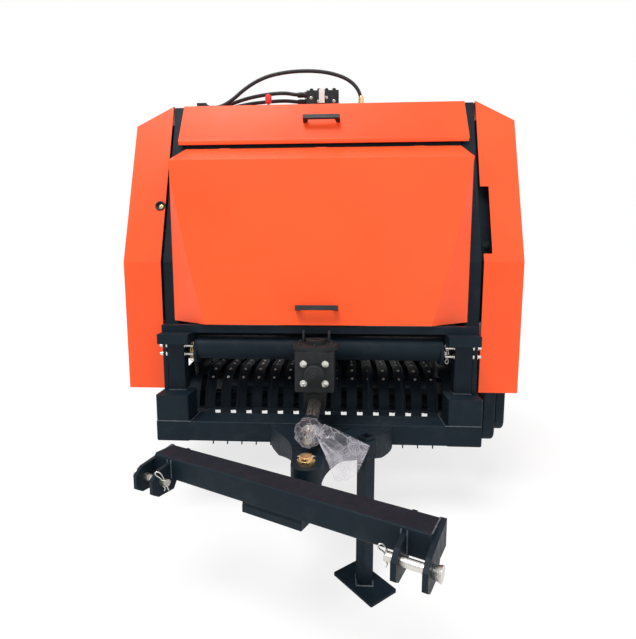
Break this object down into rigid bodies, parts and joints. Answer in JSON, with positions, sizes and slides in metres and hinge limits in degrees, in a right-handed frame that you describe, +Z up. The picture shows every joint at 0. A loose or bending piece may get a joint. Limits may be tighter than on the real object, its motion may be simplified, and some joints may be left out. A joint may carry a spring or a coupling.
{
  "type": "trailed square baler",
  "caption": "Trailed in-line square baler on two wheels and a drop leg, with swinging hitch crossbar, pickup, hood, lid and side covers.",
  "frame": {"origin": "on the ground, halfway along the machine's length and on its centre line", "axes": "+Z up, -Y towards the hitch, +X to the side of the drop leg"},
  "size_m": [2.2, 5.0014, 2.5205],
  "materials": {
    "bare_steel": "satin",
    "black_plastic": "matte",
    "cast_dark": "satin",
    "clear_film": "gloss",
    "frame_paint": "satin",
    "gold_zinc": "satin",
    "hose_rubber": "satin",
    "orange_paint": "gloss",
    "rim_paint": "satin",
    "tyre_rubber": "matte",
    "valve_metal": "satin"
  },
  "bodies": {
    "chassis": {"front_frame": "frame_paint", "post_pins": "bare_steel", "cross_tube": "frame_paint", "gearbox": "cast_dark", "tongue": "frame_paint", "shaft_stand": "frame_paint", "pivot_bolt": "gold_zinc", "side_frame_left": "frame_paint", "side_frame_right": "frame_paint", "hinge_rods": "frame_paint", "roof_deck": "orange_paint", "twine_box_left": "frame_paint", "twine_box_right": "frame_paint", "centre_frame": "frame_paint", "main_drive": "cast_dark", "bale_chamber": "frame_paint", "chute_pin": "frame_paint", "axle": "frame_paint", "lift_brackets": "frame_paint", "feed_trough": "frame_paint", "knotters": "frame_paint", "needle_yoke": "frame_paint", "density_rails": "frame_paint", "crosshead": "frame_paint", "hose_front": "hose_rubber", "hose_middle": "hose_rubber", "hose_rear": "hose_rubber", "hose_clamp": "valve_metal", "valve_block": "valve_metal", "hose_port": "valve_metal", "header_bar": "frame_paint", "film_bag": "clear_film"},
    "crossbar": {"crossbar": "frame_paint", "hitch_pins": "bare_steel"},
    "drop_leg": {"drop_leg": "frame_paint"},
    "input_shaft": {"input_shaft": "bare_steel"},
    "lid": {"lid": "orange_paint", "lid_handle": "black_plastic"},
    "hood": {"hood": "orange_paint", "hood_handle": "black_plastic"},
    "side_cover_left": {"side_cover_left": "orange_paint"},
    "side_cover_right": {"side_cover_right": "orange_paint"},
    "wheel_left": {"rim_left": "rim_paint", "tyre_left": "tyre_rubber"},
    "wheel_right": {"rim_right": "rim_paint", "tyre_right": "tyre_rubber"},
    "pickup": {"pickup_frame": "frame_paint", "stripper_bands": "frame_paint", "wind_guard": "frame_paint", "pickup_drive": "frame_paint"},
    "pickup_reel": {"pickup_reel": "frame_paint"},
    "feed_auger": {"feed_auger": "frame_paint"},
    "chute": {"chute": "frame_paint"}
  },
  "joints": [
    {"name": "crossbar_swing", "type": "hinge", "parent": "chassis", "child": "crossbar", "pos_m": [0, -1.96928, 0.506], "axis": [0, 0, 1], "range_deg": [-34, 71]},
    {"name": "drop_leg_slide", "type": "slide", "parent": "chassis", "child": "drop_leg", "axis": [0, 0, 1], "range_m": [0, 0.25]},
    {"name": "input_shaft_spin", "type": "hinge", "parent": "chassis", "child": "input_shaft", "pos_m": [0, -1.91528, 0.65], "axis": [0, 1, 0], "continuous": true},
    {"name": "lid_hinge", "type": "hinge", "parent": "chassis", "child": "lid", "pos_m": [0, -0.75873, 2.242], "axis": [-1, 0, 0], "range_deg": [0, 85]},
    {"name": "hood_hinge", "type": "hinge", "parent": "chassis", "child": "hood", "pos_m": [0, -0.84728, 1.971], "axis": [-1, 0, 0], "range_deg": [0, 60]},
    {"name": "cover_hinge_left", "type": "hinge", "parent": "chassis", "child": "side_cover_left", "pos_m": [-1.086, -0.20928, 1], "axis": [0, 0, -1], "range_deg": [0, 100]},
    {"name": "cover_hinge_right", "type": "hinge", "parent": "chassis", "child": "side_cover_right", "pos_m": [1.086, -0.20928, 1], "axis": [0, 0, 1], "range_deg": [0, 100]},
    {"name": "wheel_left_spin", "type": "hinge", "parent": "chassis", "child": "wheel_left", "pos_m": [-0.955, 0.40072, 0.38], "axis": [1, 0, 0], "continuous": true},
    {"name": "wheel_right_spin", "type": "hinge", "parent": "chassis", "child": "wheel_right", "pos_m": [0.955, 0.40072, 0.38], "axis": [1, 0, 0], "continuous": true},
    {"name": "pickup_lift", "type": "hinge", "parent": "chassis", "child": "pickup", "pos_m": [0, -0.41928, 0.7], "axis": [-1, 0, 0], "range_deg": [-12, 8]},
    {"name": "reel_spin", "type": "hinge", "parent": "pickup", "child": "pickup_reel", "pos_m": [0, -0.75928, 0.45], "axis": [1, 0, 0], "continuous": true},
    {"name": "auger_spin", "type": "hinge", "parent": "chassis", "child": "feed_auger", "pos_m": [0, -0.24928, 0.56], "axis": [1, 0, 0], "continuous": true},
    {"name": "chute_fold", "type": "hinge", "parent": "chassis", "child": "chute", "pos_m": [0, 1.95672, 0.776], "axis": [1, 0, 0], "range_deg": [0, 90]}
  ]
}
